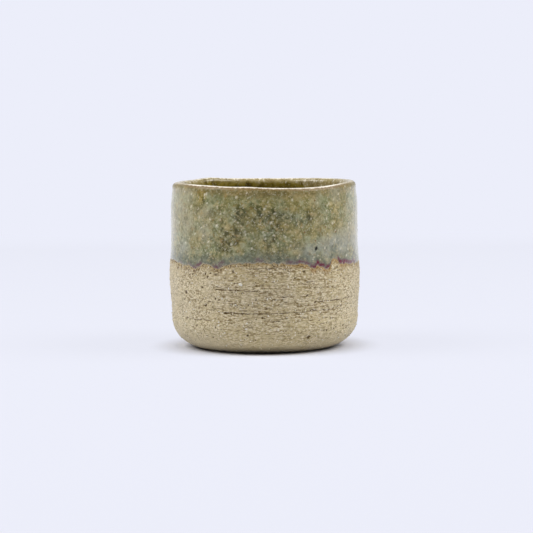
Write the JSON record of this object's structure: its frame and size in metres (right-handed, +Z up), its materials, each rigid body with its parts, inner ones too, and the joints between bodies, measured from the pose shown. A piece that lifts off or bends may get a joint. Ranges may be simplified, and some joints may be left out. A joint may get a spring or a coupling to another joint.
{
  "type": "espresso cup",
  "caption": "Small handmade stoneware cup without a handle, raw speckled clay below and a dipped glaze above, glazed inside, for a short coffee.",
  "frame": {"origin": "middle of the foot, on the surface that the cup stands on", "axes": "+Z up the axis of the cup to the lip, -Y to the side that faces the viewer, +X to the viewer's right"},
  "size_m": [0.0641, 0.0641, 0.0562],
  "materials": {
    "raw_clay": "unglazed buff stoneware, rough with grog and trimming drags",
    "dipped_glaze": "glossy mottled green and olive glaze with cream specks and purple flashes along its lower edge",
    "liner_glaze": "glossy olive-brown glaze"
  },
  "bodies": {
    "root": {"clay_body": "raw_clay", "outer_glaze": "dipped_glaze", "liner_glaze": "liner_glaze"}
  },
  "joints": []
}
